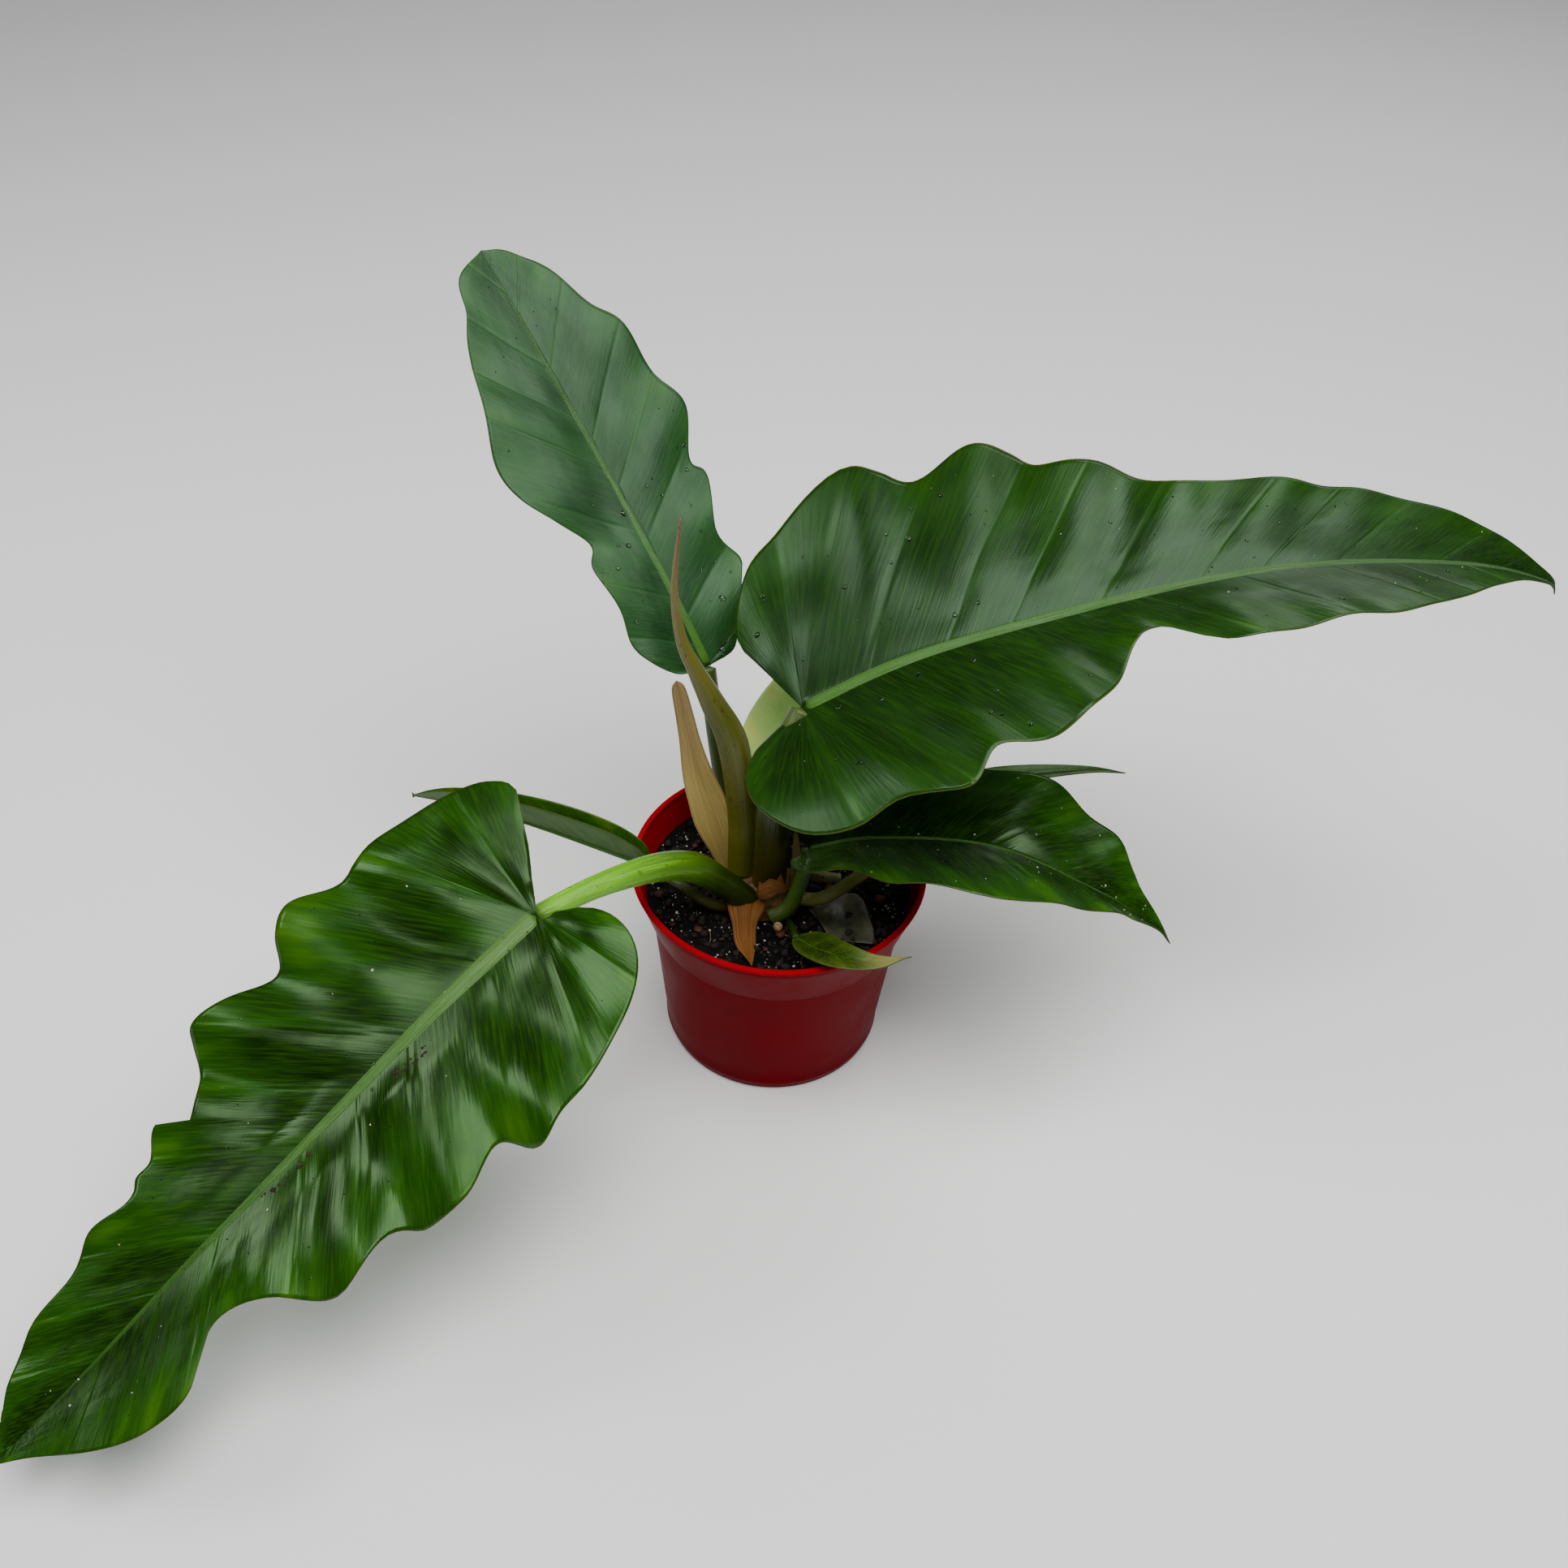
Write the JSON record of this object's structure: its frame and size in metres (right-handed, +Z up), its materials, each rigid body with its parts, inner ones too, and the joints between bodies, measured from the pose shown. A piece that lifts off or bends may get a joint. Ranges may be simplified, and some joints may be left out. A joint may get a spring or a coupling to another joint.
{
  "type": "potted philodendron",
  "caption": "Philodendron with long lobed glossy leaves on arching stalks, a rolled new leaf and dry sheaths, rooted in dark potting mix in a round red plastic nursery pot.",
  "frame": {"origin": "centre of the flat underside of the pot", "axes": "Z up; X to the right and Y to the back, as seen from the side where the largest lowered leaf comes forward"},
  "size_m": [0.5831, 0.4084, 0.3013],
  "materials": {
    "red_plastic": "gloss",
    "potting_mix": "matte",
    "crown_skin": "matte",
    "root_white": "satin",
    "dead_grey": "matte",
    "dry_brown": "matte",
    "sheath_tan": "satin",
    "stalk_olive": "satin",
    "stalk_lime": "satin",
    "stalk_green": "satin",
    "leaf_green": "gloss",
    "leaf_grey": "satin",
    "leaf_pale": "satin"
  },
  "bodies": {
    "root": {"pot": "red_plastic", "soil": "potting_mix", "crown_stem": "crown_skin", "root_nodule": "root_white", "leaf_scrap": "dead_grey", "dry_sheath": "dry_brown", "collar_sheath": "dry_brown", "sheath_I": "sheath_tan", "pale_sheath": "sheath_tan", "cut_stub": "sheath_tan", "spear": "stalk_olive", "petiole_C": "stalk_olive", "petiole_F": "stalk_olive", "petiole_H": "stalk_olive", "petiole_A": "stalk_lime", "petiole_B": "stalk_green", "petiole_D": "stalk_green", "petiole_E": "stalk_green", "petiole_G": "stalk_green", "blade_A": "leaf_green", "blade_C": "leaf_green", "blade_D": "leaf_green", "blade_F": "leaf_green", "blade_H": "leaf_green", "blade_B": "leaf_grey", "blade_E": "leaf_pale", "blade_G": "leaf_pale"}
  },
  "joints": []
}
